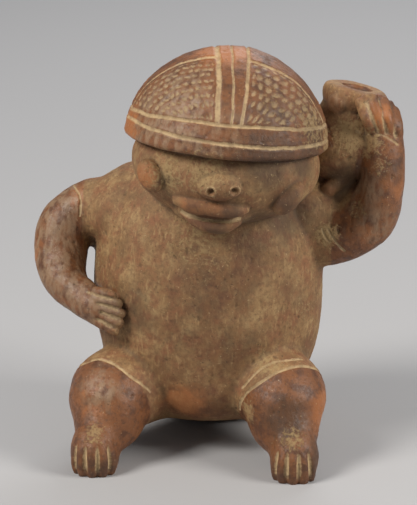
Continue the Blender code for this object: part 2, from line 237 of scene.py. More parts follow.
# %% Body and arms
RIGHT_ARM = [(-22.0, 5.0, 57.0, 7.0), (-29.4, 4.6, 57.2, 6.1), (-34.9, 3.6, 52.6, 6.5),
             (-36.1, 1.0, 45.8, 6.6), (-34.0, -4.4, 40.6, 5.4), (-29.6, -9.0, 37.6, 4.4),
             (-26.0, -11.5, 36.5, 4.2), (-23.4, -12.6, 36.3, 3.1)]
LEFT_ARM = [(19.0, 3.4, 52.6, 7.4), (27.6, 1.8, 51.0, 6.7), (34.4, 0.2, 52.6, 5.9),
            (39.6, -1.0, 56.8, 5.5), (41.6, -0.8, 63.4, 5.4), (41.7, 0.4, 70.0, 5.2),
            (41.7, 1.8, 75.4, 4.9), (41.2, 3.4, 79.4, 4.2)]
ELBOW_WEB = [(28.0, 2.0, 54.0, 4.2), (34.6, 0.6, 57.6, 4.2), (38.6, 0.4, 64.0, 3.4),
             (40.6, 1.0, 70.0, 2.4)]
RIGHT_FINGER_RADII = (1.15, 1.4, 1.2)
LEFT_FINGER_RADII = (1.3, 1.6, 1.4)
FILLER_FINGER_RADII = (1.5, 1.7, 1.3)


def torso():
    return [
        ball((-0.3, 3.6, 38.0), (28.0, 23.0, 33.2), fullness=0.62),
        ball((0.0, 14.6, 14.4), (23.5, 13.6, 14.9), fullness=0.85),
        ball((0.4, -5.0, 18.0), (15.5, 12.0, 11.4)),
        ball((-16.0, 5.0, 58.6), (17.0, 12.0, 9.6), turn=(0, -20, 0)),
        ball((21.0, 7.0, 57.0), (14.0, 12.0, 10.0)),
        ball((-27.0, 7.0, 54.0), (8.0, 5.0, 8.4)),
        ball((33.0, 4.5, 60.5), (6.0, 4.5, 5.5)),
    ]


def right_finger(index):
    """The knuckle, middle and tip of a finger on the hip; index 0 is the thumb."""
    knuckle = Vector((-27.4 - 0.5 * index, -11.9 + 0.1 * index, 41.2 - 1.5 * index))
    tip = Vector((-21.4 + 1.9 * math.sin(math.pi * index / 4.6), -15.0, 41.0 - 2.5 * index))
    return knuckle, (knuckle + tip) / 2.0 + Vector((0.0, -0.7, 0.1)), tip


def left_finger(across):
    """The knuckle, middle and tip of a finger on the jar; across runs from 0 to 1."""
    knuckle = Vector((39.2 + 6.6 * across, -0.8 - 2.0 * across + 3.0 * across ** 2,
                      78.6 + 1.6 * across - 3.6 * across ** 2))
    tip = Vector((36.2 + 8.0 * across, -0.6 + 4.6 * across ** 1.5,
                  85.0 + 5.6 * across - 8.4 * across ** 2))
    return knuckle, (knuckle + tip) / 2.0 - Vector((0.0, 1.1, 0.0)), tip


def finger(places, radii):
    """A finger's roll with a round tip."""
    tip, radius = places[-1], radii[-1]
    return [roll([(*place, radius) for place, radius in zip(places, radii)]),
            ball(tip, (radius, radius, radius))]


def right_arm():
    shapes = [roll(RIGHT_ARM), ball((-26.8, -10.6, 37.0), (3.4, 3.2, 5.4), turn=(0, -14, -35)),
              ball((-29.0, -8.5, 40.2), (2.9, 2.9, 2.9))]
    for index in range(5):
        shapes += finger(right_finger(index), RIGHT_FINGER_RADII)
    return shapes


def left_arm():
    shapes = [roll(LEFT_ARM), roll(ELBOW_WEB), ball((40.8, 2.2, 80.6), (3.6, 2.6, 3.4))]
    for index in range(4):
        shapes += finger(left_finger(index / 3.0), LEFT_FINGER_RADII)
    for index in range(3):
        behind = [place + Vector((0.0, 0.7, 0.0)) for place in left_finger((index + 0.5) / 3.0)]
        shapes += finger(behind, FILLER_FINGER_RADII)
    return shapes


# %% [markdown]
# ## Legs and jar
# Each leg is a thick roll from the hip over the knee to a small foot, with a ball for the knee and
# one for the foot, and five toes spread round the front. The jar is turned like a real one, with a rim, a
# neck and a belly, and a flap of clay joins its rim to the thumb.

# %% Legs and jar
RIGHT_FOOT = (-25.0, -24.6, 4.6)
LEFT_FOOT = (22.6, -24.6, 4.6)
FOOT_HALF = (6.0, 6.4, 7.4)
HIP_RADIUS = 10.0
KNEE_RADIUS = 10.6
SHIN_RADIUS = 8.9
ANKLE_RADIUS = 6.0
TOE_HALF = (1.6, 1.6, 4.6)
TOE_SPREAD = 29.0
JAR_MOUTH_PLACE = (35.0, 8.6, 86.9)
JAR_TURN = (-3.0, 13.0, 0.0)
JAR_HEIGHT = 24.0
JAR_WIDEST = -0.60 * JAR_HEIGHT
JAR_BELLY = 10.4
JAR_NECK = 7.0
JAR_RIM = 8.0
JAR_WALL = 0.0026 / UNIT
JAR_MOUTH = 0.0096 / UNIT
JAR_FLOOR = 0.0040 / UNIT


def toe_place(foot, turn, out):
    around = math.radians(turn)
    return (foot[0] + (FOOT_HALF[0] + out) * math.sin(around),
            foot[1] - (FOOT_HALF[1] + out) * math.cos(around))


def leg(hip, knee, knee_half, foot):
    shin = [(a + b) / 2.0 for a, b in zip(knee, foot)]
    ankle = (foot[0], foot[1] + 1.8, foot[2] + 2.2)
    shapes = [
        roll([(*hip, HIP_RADIUS), (*knee, KNEE_RADIUS), (*shin, SHIN_RADIUS), (*ankle, ANKLE_RADIUS)]),
        ball(knee, knee_half),
        ball(foot, FOOT_HALF, fullness=0.8),
    ]
    for index in range(5):
        place = toe_place(foot, TOE_SPREAD * (index - 2), -1.2)
        shapes.append(ball((*place, 3.6), TOE_HALF))
    return shapes


def jar():
    rows = [(0.0, -0.2), (JAR_RIM - 1.4, 0.0), (JAR_RIM - 0.3, -0.6), (JAR_RIM, -1.8),
            (JAR_RIM - 0.3, -3.6), (JAR_NECK, -4.9), (JAR_BELLY - 2.2, -7.8),
            (JAR_BELLY - 0.5, -10.8), (JAR_BELLY, JAR_WIDEST), (JAR_BELLY - 1.2, JAR_WIDEST - 4.0),
            (JAR_BELLY - 4.4, JAR_WIDEST - 8.2), (0.0, -JAR_HEIGHT)]
    return [
        turned(rows, placed(JAR_MOUTH_PLACE, JAR_TURN)),
        ball((30.4, 2.4, 84.2), (2.4, 1.7, 2.5), turn=(0, 12, -30)),
        roll([(35.0, 5.0, 68.0, 2.4), (32.0, 2.4, 65.8, 2.3), (29.2, 0.6, 63.8, 2.0)]),
        ball((29.0, 0.5, 63.7), (2.1, 2.0, 2.0)),
    ]


def jar_hollow():
    """The space inside the jar: its outside drawn in by the wall, and the mouth above it."""
    mouth = JAR_MOUTH / 2.0
    belly = JAR_BELLY - JAR_WALL
    rows = [(0.0, 3.0), (mouth + 1.4, 3.0), (mouth + 0.8, 0.2), (mouth + 0.2, -1.0), (mouth, -2.4),
            (mouth, -5.0), (belly - 2.2, -8.2), (belly, JAR_WIDEST), (belly - 1.2, JAR_WIDEST - 3.4),
            (belly - 4.4, JAR_FLOOR + 2.0 - JAR_HEIGHT), (0.0, JAR_FLOOR - JAR_HEIGHT)]
    return turned(rows, placed(JAR_MOUTH_PLACE, JAR_TURN), steps=48)


# %% [markdown]
# ## One skin
# Wet clay has no seams, so the shapes are fused: a voxel remesh wraps all of them in one even skin, and a
# few rounds of smoothing press the joins down as a thumb would. The grid is finer than half a
# millimetre, because the cuts that follow are only one or two millimetres wide.

# %% Fusing the clay
GRAIN = 0.285
SOFTENING = 7


def new_object(name, mesh):
    item = bpy.data.objects.new(name, mesh)
    bpy.context.scene.collection.objects.link(item)
    return item


def evaluated_mesh(item):
    """The object's mesh with its modifiers applied; the object itself is removed."""
    bpy.context.view_layer.update()
    graph = bpy.context.evaluated_depsgraph_get()
    mesh = bpy.data.meshes.new_from_object(item.evaluated_get(graph), depsgraph=graph)
    bpy.data.objects.remove(item, do_unlink=True)
    return mesh


def fused(meshes):
    body = bmesh.new()
    for mesh in meshes:
        body.from_mesh(mesh)
        bpy.data.meshes.remove(mesh)
    item = new_object("clay_lump", as_mesh(body))
    remesh = item.modifiers.new("Fuse", "REMESH")
    remesh.mode = "VOXEL"
    remesh.voxel_size = GRAIN
    soften = item.modifiers.new("Soften", "SMOOTH")
    soften.factor = 0.5
    soften.iterations = SOFTENING
    return evaluated_mesh(item)


skin = fused(head() + torso() + right_arm() + left_arm() + jar()
             + leg((-11.0, 2.0, 15.0), (-21.0, -12.0, 15.4), (11.3, 9.8, 9.9), RIGHT_FOOT)
             + leg((10.0, 2.0, 15.0), (18.2, -12.0, 16.4), (11.2, 9.8, 9.8), LEFT_FOOT))
print(f"the fused skin has {len(skin.vertices)} vertices")

# %% [markdown]
# ## Unevenness
# Nothing on a hand-made figure is quite true. A sum of sine waves in random directions makes soft bumps
# of any length, and the same seed gives the same bumps on every run. The same function later makes the
# cut lines waver and picks the spots for pits.

# %% Waves, places and directions of the skin
def read_points(mesh, kind):
    values = np.empty(len(mesh.vertices) * 3, dtype=np.float32)
    source = mesh.vertex_normals if kind == "normal" else mesh.vertices
    source.foreach_get("vector" if kind == "normal" else "co", values)
    return values.reshape(-1, 3).astype(float)


def waves(points, length, seed, count=18):
    """Soft bumps about as long as length, mostly between -1 and 1."""
    random = np.random.default_rng(seed)
    directions = random.normal(size=(count, 3))
    directions /= np.linalg.norm(directions, axis=1)[:, None]
    turns = math.tau / (length * random.uniform(0.7, 1.5, count))
    phases = random.uniform(0.0, math.tau, count)
    total = np.zeros(len(points))
    for direction, turn, phase in zip(directions, turns, phases):
        total += np.sin(points @ direction * turn + phase)
    return total / math.sqrt(2.0 * count)


def ramp(values, low, high):
    """0 below low, 1 above high, and a soft step between them."""
    share = np.clip((values - low) / (high - low), 0.0, 1.0)
    return share * share * (3.0 - 2.0 * share)


print(f"bumps of {np.std(waves(read_points(skin, 'place')[::50], 8.0, 1)):.2f} units for a height of 1")

# %% [markdown]
# ## Pressed joins
# Where two rolls meet, the maker pressed the clay together with a finger. Averaging every point with its
# neighbours many times rounds such a join. The head, the hands, the toes and the jar's rim keep their
# crisp edges, so the averaging is faded out near them.

# %% Rounding the joins
FILLET = 1.35
CRISP = [(-21.5, -15, 36.5, 4.6, 1), (41, 0, 82, 7, 1), (-25, -30, 2.5, 6, 1), (22.6, -30, 2.5, 6, 1),
         (34, 6.5, 86, 9, 1), (29.6, 0.8, 64, 4, 0.8)]


def spots(points, places):
    """The strongest of several soft spots, each given as x, y, z, reach and strength."""
    total = np.zeros(len(points))
    for x, y, z, reach, strength in places:
        distance = np.linalg.norm(points - np.array((x, y, z)), axis=1)
        total = np.maximum(total, strength * np.exp(-(distance / reach) ** 2))
    return total


def neighbours(mesh):
    pairs = np.empty(len(mesh.edges) * 2, dtype=np.int32)
    mesh.edges.foreach_get("vertices", pairs)
    first, second = pairs.reshape(-1, 2).T
    return np.concatenate([first, second]), np.concatenate([second, first])


def smoothed(values, links, rounds):
    """Values averaged with their neighbours again and again."""
    here, there = links
    count = np.bincount(here, minlength=len(values))[:, None]
    for _ in range(rounds):
        total = np.stack([np.bincount(here, weights=values[there, axis], minlength=len(values))
                          for axis in range(values.shape[1])], axis=1)
        values = 0.4 * values + 0.6 * total / count
    return values


links = neighbours(skin)
fused_points = read_points(skin, "place")
from_head = np.linalg.norm(fused_points - np.array(HEAD), axis=1)
pressed = ramp(from_head, 25.0, 31.0) * (1.0 - ramp(spots(fused_points, CRISP), 0.15, 0.6))
rounded = smoothed(fused_points, links, round(FILLET ** 2 / (0.3 * GRAIN ** 2)))
points = fused_points + (rounded - fused_points) * pressed[:, None]
skin.vertices.foreach_set("co", points.astype(np.float32).ravel())
skin.update()
normals = read_points(skin, "normal")
print(f"{np.mean(pressed > 0.5) * 100:.0f} % of the skin is pressed smooth")

# %% [markdown]
# ## Cut lines
# The maker dragged a point through leather-hard clay. Each cut is a path of a few places, and how near a
# point of the skin lies to it, 1 on the path and 0 at the cut's edge, gives both the depth of the groove
# and, later, the white earth in it. On the cap the lines follow the dome, so they are found from
# latitudes and slices of the dome instead of from paths.

# %% Cuts along a path
def nearness(distance, half_width):
    return np.clip(1.0 - distance / half_width, -1.0, 1.0)


def near_path(points, path, half_width):
    """How near each point is to a path of places."""
    path = np.array(path, float)
    result = np.full(len(points), -1.0)
    low, high = path.min(axis=0) - 3.0, path.max(axis=0) + 3.0
    close = np.all((points > low) & (points < high), axis=1)
    distance = np.full(close.sum(), np.inf)
    for start, end in zip(path, path[1:]):
        run = end - start
        share = np.clip((points[close] - start) @ run / (run @ run), 0.0, 1.0)
        gap = points[close] - start - share[:, None] * run
        distance = np.minimum(distance, np.linalg.norm(gap, axis=1))
    result[close] = nearness(distance, half_width)
    return result


def smooth_places(places):
    return [station.xyz for station in smooth_path([(*place, 0.0) for place in places], 4)]


LINE = 0.0013 / UNIT / 2.0
MOUTH_LINE = 0.62
TOE_GROOVE = 0.82
FINGER_GROOVE = 0.85
LIMB_CUTS = {
    "right knee": [(-31.2, -9.4, 19.6), (-29.2, -12.5, 22.0), (-27.7, -14.3, 23.0),
                   (-25.3, -15.2, 24.3), (-21.9, -17.1, 24.4), (-18.8, -18.7, 23.0),
                   (-16.6, -19.3, 21.5), (-14.8, -18.9, 20.0), (-12.6, -17.6, 17.4)],
    "left knee": [(8.6, -15.8, 12.6), (9.3, -17.7, 15.6), (12.3, -20.0, 20.1), (14.5, -20.4, 21.9),
                  (16.5, -20.1, 23.1), (20.5, -18.5, 24.4), (24.1, -15.8, 24.2), (26.0, -13.7, 23.1),
                  (28.0, -10.2, 20.8)],
    "left kneecap": [(9.0, -15.2, 16.6), (10.2, -17.9, 19.9), (13.4, -17.9, 23.5), (16.6, -17.1, 25.3),
                     (20.4, -16.0, 25.8), (23.7, -13.1, 25.2)],
    "right shoulder": [(-33.2, 4.6, 62.2), (-32.6, 2.5, 62.0), (-31.4, 0.4, 61.1), (-30.8, -0.6, 59.9),
                       (-30.7, -1.3, 58.4), (-30.9, -1.9, 56.0)],
    "left shoulder": [(28.9, -3.7, 54.8), (30.2, -4.8, 53.2), (31.4, -5.2, 51.6), (33.1, -5.0, 49.9)],
    "left shoulder again": [(27.5, -3.6, 55.0), (28.3, -4.5, 53.3), (29.5, -4.9, 52.0)],
    "left wrist": [(35.3, -0.3, 78.2), (37.5, -0.6, 77.7), (40.3, -1.7, 78.0), (42.7, -2.3, 77.3),
                   (45.1, -1.8, 75.6)],
}
LINE_WIDTHS = {"right knee": 1.15, "left knee": 1.2, "left kneecap": 1.0, "left wrist": 1.1}
MOUTH = [(-4.0, -25.4, 64.6), (-2.9, -26.1, 64.2), (0.0, -27.6, 63.8), (3.7, -27.9, 63.4),
         (7.4, -27.6, 63.3), (9.6, -26.6, 63.6)]
NOSTRILS = [(3.5, -33.0, 71.6), (8.8, -32.6, 71.7)]
NOSTRIL_HALF = 0.85
NOSTRIL_REACH = 3.0


def toe_cuts(foot):
    for index in range(4):
        turn = TOE_SPREAD * (index - 1.5)
        yield [(*toe_place(foot, turn, 0.3), -1.0), (*toe_place(foot, turn, 0.3), 4.0),
               (*toe_place(foot, turn, 0.0), 8.4)]


def finger_cuts():
    gaps = [right_finger(index + 0.5) for index in range(4)]
    gaps += [left_finger((index + 0.5) / 3.0) for index in range(3)]
    for places in gaps:
        yield [place - Vector((0.0, 1.2, 0.0)) for place in places]


def cut_paths(points):
    """How near each point is to a line on limbs or mouth, and to a groove between digits."""
    lines = np.full(len(points), -1.0)
    for name, places in LIMB_CUTS.items():
        width = LINE * LINE_WIDTHS.get(name, 0.8)
        lines = np.maximum(lines, near_path(points, smooth_places(places), width))
    lines = np.maximum(lines, near_path(points, smooth_places(MOUTH), MOUTH_LINE))
    grooves = np.full(len(points), -1.0)
    for path in [*toe_cuts(RIGHT_FOOT), *toe_cuts(LEFT_FOOT)]:
        grooves = np.maximum(grooves, near_path(points, path, TOE_GROOVE))
    for path in finger_cuts():
        grooves = np.maximum(grooves, near_path(points, path, FINGER_GROOVE))
    return lines, grooves


# %% [markdown]
# ## Cuts on the cap
# Two lines run round above the rim, three run over the crown from front to back, and a pair from each
# side of the crown's band down to the ear leaves four fields. The fields are filled with rows of short
# dabs that follow the ear line. A row is a whole number of steps away from the line, a dab is a whole
# number of steps along the row, and a table of random numbers nudges every dab a little.

# %% Lines and dabs on the cap
RIM_LINES = ((12.6, -1.9, 0.0), (23.3, 0.0, -4.5))
CROWN_LINES = ((-0.172, 0.0, 1.7), (-0.036, 0.0, 0.85), (0.008, 0.118, 1.2))
CROWN_YAW = math.radians(6.7)
EAR_LINES = ((0.33, -0.19), (-0.22, 0.27))
DOME = CAP_HALF[0]
CAP_THICKNESS = 0.06
SMALL_DABS = {"row pitch": 1.50, "pitch": 2.00, "half length": 0.98, "half width": 0.44, "tilt": 0.35}
LARGE_DABS = {"row pitch": 1.90, "pitch": 2.40, "half length": 1.00, "half width": 0.74, "tilt": 0.60}
DAB_NUDGES = (5, 97, 89)
ROUND_DAB = 2.6


def head_view(points):
    """Where points lie seen from the middle of the dome: right, front, up and how far out."""
    local = (points - np.array(HEAD)) @ np.array(degrees(HEAD_TURN).to_matrix()) / np.array(CAP_HALF)
    out = np.linalg.norm(local, axis=1)
    right, back, up = (local / out[:, None]).T
    return right, -back, up, out


def above_rim_line(right, up, line):
    """Height in units above one of the two lines round the rim."""
    middle, tilt, droop = line
    return (np.arcsin(up) - np.radians(middle + tilt * right + droop * right * right)) * DOME


def beside_crown_line(right, front, up, line):
    """Distance in units to the right of one of the three lines over the crown."""
    across = right * math.cos(CROWN_YAW) - front * math.sin(CROWN_YAW)
    return (across - line[0] - line[1] * up) * DOME


def before_ear_line(right, front, line):
    """Distance in units in front of one of the two lines to the ears."""
    return (front - line[0] - line[1] * right * right) * DOME * 0.94


def cap_lines(points):
    """How near each point is to a line on the cap."""
    right, front, up, out = head_view(points)
    wobble = 0.14 * waves(points, 7.0, 21)
    result = np.full(len(points), -1.0)
    for line in RIM_LINES:
        gap = above_rim_line(right, up, line) + wobble
        result = np.maximum(result, nearness(np.abs(gap), LINE * 1.3))
    above = above_rim_line(right, up, RIM_LINES[1]) > 0.0
    for line in CROWN_LINES:
        gap = beside_crown_line(right, front, up, line) + wobble
        result = np.where(above, np.maximum(result, nearness(np.abs(gap), LINE * line[2])), result)
    left_of_crown = beside_crown_line(right, front, up, CROWN_LINES[0]) < 0.0
    right_of_crown = beside_crown_line(right, front, up, CROWN_LINES[-1]) > 0.0
    beside = above & (left_of_crown | right_of_crown)
    for line in EAR_LINES:
        gap = before_ear_line(right, front, line) + wobble
        result = np.where(beside, np.maximum(result, nearness(np.abs(gap), LINE * 1.25)), result)
    on_cap = (np.abs(out - 1.0) < CAP_THICKNESS) & (up > 0.0)
    return np.where(on_cap, result, -1.0)


def cap_dabs(points):
    """How near each point is to a dab, 1 in its middle and 0 at its edge; the left half has larger ones."""
    right, front, up, out = head_view(points)
    side = np.abs(right)
    left_margin = -beside_crown_line(right, front, up, CROWN_LINES[0])
    right_margin = beside_crown_line(right, front, up, CROWN_LINES[-1])
    larger = right_margin > 0.0
    before = before_ear_line(right, front, EAR_LINES[0])
    behind = -before_ear_line(right, front, EAR_LINES[1])
    row_place = np.maximum(before, behind) + 0.25 * waves(points, 11.0, 31)
    along_place = np.arctan2(side, up) * DOME + 0.30 * waves(points, 9.0, 32)
    size = {name: np.where(larger, LARGE_DABS[name], SMALL_DABS[name]) for name in SMALL_DABS}
    row_pitch, dab_pitch = size["row pitch"], size["pitch"]
    row = np.floor(row_place / row_pitch)
    along_place = along_place + 0.5 * dab_pitch * (row % 2.0)
    dab = np.floor(along_place / dab_pitch)
    table = np.random.default_rng(5).uniform(-1.0, 1.0, DAB_NUDGES)
    nudge = table[:, (row.astype(int) + 20) % DAB_NUDGES[1], (dab.astype(int) + 20) % DAB_NUDGES[2]]
    u = along_place - (dab + 0.5) * dab_pitch - 0.22 * nudge[0]
    v = row_place - (row + 0.5) * row_pitch - 0.14 * nudge[1]
    tilt = size["tilt"] * nudge[2]
    turned_u = u * np.cos(tilt) + v * np.sin(tilt)
    turned_v = v * np.cos(tilt) - u * np.sin(tilt)
    half_u = size["half length"] * (1.0 + 0.25 * nudge[3])
    half_v = size["half width"] * (1.0 + 0.25 * nudge[4])
    reach = np.abs(turned_u / half_u) ** ROUND_DAB + np.abs(turned_v / half_v) ** ROUND_DAB
    reach = reach ** (1.0 / ROUND_DAB)
    inside = ((np.maximum(left_margin, right_margin) > 1.1) & (row_place > 0.8)
              & (np.abs(out - 1.0) < CAP_THICKNESS) & (above_rim_line(right, up, RIM_LINES[1]) > 1.0))
    return np.where(inside, np.clip(1.0 - reach, -1.0, 1.0), -1.0)


# %% [markdown]
# ## Where the surface is worn
# The left side of the cap, the face and the upper chest are scoured and crusted, and so are a few spots
# on the left arm, the flanks, the left knee and the insteps. Each spot is a place, a reach and a
# strength, and its effect fades with distance. The same kind of list later places thin slip, brighter
# slip and painted highlights, smoke and painted shade, and polish and painted sheen.

# %% Worn spots
WORN = [(24.5, -18, 84, 8.5, 0.58), (27.5, -12, 79, 6, 0.7), (16, -22, 92, 9, 0.4),
        (2, -31, 75.5, 8, 0.62), (17, -24, 75, 8, 0.35), (-7, -27, 74, 7, 0.6), (0, -18, 55, 12, 0.5),
        (29, -5, 54, 3.5, 0.9), (34, 1, 77, 6.5, 0.8), (38, -2, 76, 5, 0.7), (36, -4, 60, 4, 0.55),
        (41, -5, 71, 4, 0.5), (-26, 0, 45, 9, 0.5), (16, -17, 25, 5, 0.6), (26.5, -9, 36, 7, 0.5),
        (-24.5, -28.5, 11, 4, 0.62), (22.5, -29, 11, 4.2, 0.66), (11, -20, 14, 4, 0.7)]
worn = spots(points, WORN)
print(f"{np.mean(worn > 0.3) * 100:.0f} % of the skin is worn")

# %% [markdown]
# ## Carving the skin
# Every point moves in along its own direction by the depth of its cut. A line or a nostril also raises
# a faint lip beside it, because the tool pushes clay aside. Long low waves make the walls uneven, short
# ones leave the marks of the polishing pebble, and small pits stand where grit fell out.

# %% Carving
CUT_DEPTH = 0.34
DAB_DEPTH = 0.26
TOE_DEPTH = 0.75
FINGER_DEPTH = 0.35
NOSTRIL_DEPTH = 1.0
NOSTRIL_LIP = 0.22
LINE_LIP = 0.07
PIT_DEPTH = 0.10
WORN_PIT_DEPTH = 0.22
SCOUR_DEPTH = 0.10
HANDS_ABOVE = 20.0
WAVES = ((0.20, 15.0, 2), (0.085, 5.5, 3), (0.028, 2.0, 4))

limb_lines, grooves = cut_paths(points)
lines = np.maximum(cap_lines(points), limb_lines)
dabs = cap_dabs(points)
nostrils = np.full(len(points), -1.0)
for place in NOSTRILS:
    gap = points - np.array(place)
    distance = np.linalg.norm(gap[:, [0, 2]], axis=1)
    close = np.linalg.norm(gap, axis=1) < NOSTRIL_REACH
    nostrils = np.maximum(nostrils, np.where(close, 1.0 - distance / NOSTRIL_HALF, -1.0))
on_hands = points[:, 2] > HANDS_ABOVE

depth = CUT_DEPTH * ramp(lines, 0.0, 0.75) * (1.0 - 0.6 * worn)
depth += DAB_DEPTH * ramp(dabs, 0.0, 0.6) * (1.0 - 0.7 * worn)
depth += np.where(on_hands, FINGER_DEPTH, TOE_DEPTH) * ramp(grooves, 0.0, 0.9)
nostril_lip = ramp(nostrils, -0.75, -0.35) * ramp(-nostrils, -0.1, 0.1)
depth += NOSTRIL_DEPTH * ramp(nostrils, 0.0, 0.5) - NOSTRIL_LIP * nostril_lip
depth -= LINE_LIP * ramp(lines, -0.7, -0.25) * ramp(-lines, -0.05, 0.1)
depth += sum(height * waves(points, length, seed) for height, length, seed in WAVES)
pitted = ramp(waves(points, 1.9, 6, count=30), 0.80, 1.25)
depth += (PIT_DEPTH + WORN_PIT_DEPTH * worn) * pitted
depth += SCOUR_DEPTH * worn * ramp(waves(points, 1.3, 7, count=30), 0.0, 0.9)
carved = points - normals * depth[:, None]
skin.vertices.foreach_set("co", carved.astype(np.float32).ravel())
skin.update()
print(f"cuts reach {depth.max() * UNIT * 1000:.2f} mm deep")

# %% [markdown]
# ## Hollows and edges
# Earth stays in hollows, and slip wears off ridges; the hollows are also darkened as painted shade.
# Both show where the skin lies against its own smoothed copy: a point below the copy is in a hollow
# and a point above it is on a ridge. A short smoothing finds cuts and cracks, and a long one finds
# folds between limbs.

# %% Hollows and ridges
normals = read_points(skin, "normal")
short = smoothed(carved, links, 6)
long = smoothed(short, links, 30)
fine_relief = np.einsum("ij,ij->i", carved - short, normals)
broad_relief = np.einsum("ij,ij->i", short - long, normals)
print(f"fine relief spreads over {np.std(fine_relief) * UNIT * 1e6:.0f} micrometres")

# %% [markdown]
# ## Red slip, smoke, polish and painted light
# The slip covers the cap, both arms beyond the shoulder lines, the shins and feet below the knee
# lines, and thinly the nose, the lips and the ears. Its edge is kept as a signed distance, so that the
# material can draw it sharp however coarse the skin is. Fire left darker clouds and some brighter,
# oxidised red. The dark spots also paint shade, such as the head's shadow on the chest under the chin,
# the bright spots also paint highlights and rim light, and the polish spots also paint a pale sheen.

# %% Slip
KNEE_PLANES = {"right": ((-22.0, -16.6, 22.6), (0.432, 0.835, 0.34)),
               "left": ((17.6, -18.0, 21.8), (-0.441, 0.645, 0.624))}
SHOULDERS = {"right": -30.2, "left": 29.8}
WRIST_HEIGHT = 47.0
INNER_SHINS = {"right": -11.8, "left": 8.4}
KNEE_HEIGHTS = {"right": 24.5, "left": 24.8}
SLIP_SPOTS = [(40.5, 1.0, 81.6, 5.4), (-24.6, -13.2, 36.6, 5.6)]


def near_limb(points, stations, spare):
    """Signed distance inside a limb's roll, with some to spare."""
    result = np.full(len(points), -9.0)
    for station in smooth_path(stations, 4):
        distance = np.linalg.norm(points - np.array(station[:3]), axis=1)
        result = np.maximum(result, station[3] + spare - distance)
    return result


def below_knee(points, side, outward):
    """Signed distance inside the slip of one shin, beyond the line across its knee."""
    middle, normal = KNEE_PLANES[side]
    beyond_line = -(points - np.array(middle)) @ np.array(normal)
    beside_lap = outward * (points[:, 0] - INNER_SHINS[side])
    return np.min([beyond_line, beside_lap, KNEE_HEIGHTS[side] - points[:, 2]], axis=0)


x, z = points[:, 0], points[:, 2]
up, out = head_view(points)[2:]
on_cap = np.minimum((1.075 - out) * DOME, (np.arcsin(up) - 0.035) * DOME)
past_right_shoulder = np.maximum(SHOULDERS["right"] - x, WRIST_HEIGHT - z)
on_right_arm = np.minimum(near_limb(points, RIGHT_ARM, 1.5), past_right_shoulder)
on_left_arm = np.minimum(near_limb(points, LEFT_ARM, 1.6), x - SHOULDERS["left"])
on_legs = [below_knee(points, "right", -1.0), below_knee(points, "left", 1.0)]
on_hand_spots = [reach - np.linalg.norm(points - np.array(place), axis=1) for *place, reach in SLIP_SPOTS]
slip = np.max([on_cap, on_right_arm, on_left_arm, *on_legs, *on_hand_spots], axis=0)
slip = np.clip(slip / 2.0, -1.0, 1.0)

TINT = [(5, -31.5, 72.2, 4.6, 0.55), (3, -30, 66, 7.5, 0.95), (-11.4, -27.4, 73.2, 4, 0.95),
        (20.2, -25.4, 68.2, 4.2, 0.75), (-3, -16, 12.5, 10, 0.85), (30.6, 1.4, 84.6, 3.4, 0.8),
        (29.2, -0.6, 63.8, 3.6, 0.6), (34, 4, 88, 5, 0.6), (4, -20, 47, 15, 0.46),
        (5, -19, 27, 12, 0.44), (18, -20, 58, 8, 0.45)]
# Bright fired patches, and painted light: the spots on the outer edges of the left arm and left leg are
# painted rim light, and those on the crotch and right knee are painted highlights.
ORANGE_AND_HIGHLIGHT = [(5, -12, 100, 7, 1), (-19.5, -17, 80.5, 8, 1), (-18, -3, 88, 10, 0.7), (-41, 0, 46, 6, 0.5),
          (-5, -16.5, 13.6, 6, 0.85), (28, -18, 14, 6, 0.8), (44, -4, 66, 5, 0.42),
          (38, -5, 54, 5, 0.45), (-31, 0, 61, 4, 0.6), (41, -0.8, 82, 4, 0.7),
          (-11.8, -27.8, 74, 3.4, 0.8), (-26, -22, 15, 7, 0.45), (-4.2, -28, 67.9, 2.6, 0.8)]
# Dark spots: partly fire clouds, partly painted shade; the strong spot under the chin on the chest's right
# is the head's painted shadow.
SMOKE_AND_SHADE = [(-17, -15.6, 38, 8, 0.55), (-4, -19, 33, 9, 0.4), (20.5, -24.5, 14, 6, 0.95),
         (27.5, -26, 5, 5, 0.8), (33, 2, 67, 6, 0.9), (17, -25, 88, 8, 0.62), (15, -30, 80, 8, 0.75),
         (26, -17, 82, 7, 0.7), (44, -5, 70, 5, 0.5), (13, -21, 58, 10, 0.82), (17, -24, 74, 6, 0.45),
         (2, -19, 44, 15, 0.5), (8, -19, 29, 11, 0.46), (22, -10, 60, 8, 1), (20.4, -26, 68, 4.2, 0.8),
         (-7.6, -28.2, 72.4, 1.8, 1), (17, -29, 77.5, 7, 1), (25.5, -22, 76.5, 6, 1),
         (10, -33, 77.6, 9, 0.55), (31.6, 1, 66, 4, 0.75), (10, 26, 40, 16, 0.5), (-20, 22, 62, 12, 0.4),
         (0, 12, 92, 9, 0.45), (4.5, -29, 60.6, 3.2, 0.8), (8, -30.6, 66, 3.4, 0.66)]
# Burnished places, partly real polish and partly a painted sheen on the cap, the arms and the right knee.
POLISH_AND_SHEEN = [(37, -4, 64, 6, 0.75), (-7, -27, 88, 12, 1), (-37, 1, 56, 9.5, 1), (-37, -3, 45, 9, 1),
          (-31, -8, 38.5, 8, 0.9), (-24, -13.5, 36.5, 7, 0.85), (-24, -22, 19, 6, 0.72),
          (30.6, 0.8, 84.6, 3.6, 0.9), (36, -1, 82, 3.5, 0.8), (5, -31, 85, 8, 0.6),
          (40, -6, 57, 6, 0.7), (0, 27, 45, 18, 0.4)]
# The feet are made darker towards the floor.
darker_towards_floor = 0.42 * ramp(-z, -8.0, -3.0)

# %% [markdown]
# ## The finished mesh
# The fine skin has more triangles than a part needs. Before it is thinned, the marks are stored on its
# points as named attributes, which the thinning carries along. A collapse keeps triangles where the
# relief is and spends few on smooth walls. Then the jar's hollow is cut out and the soles are cut flat.

# %% Storing the marks
def store(mesh, name, values):
    attribute = mesh.attributes.new(name, "FLOAT", "POINT")
    attribute.data.foreach_set("value", values.astype(np.float32))


def relief_mark(fine, strength, broad):
    return np.clip(fine, 0.0, 1.0) * strength + np.clip(broad, 0.0, 1.0)


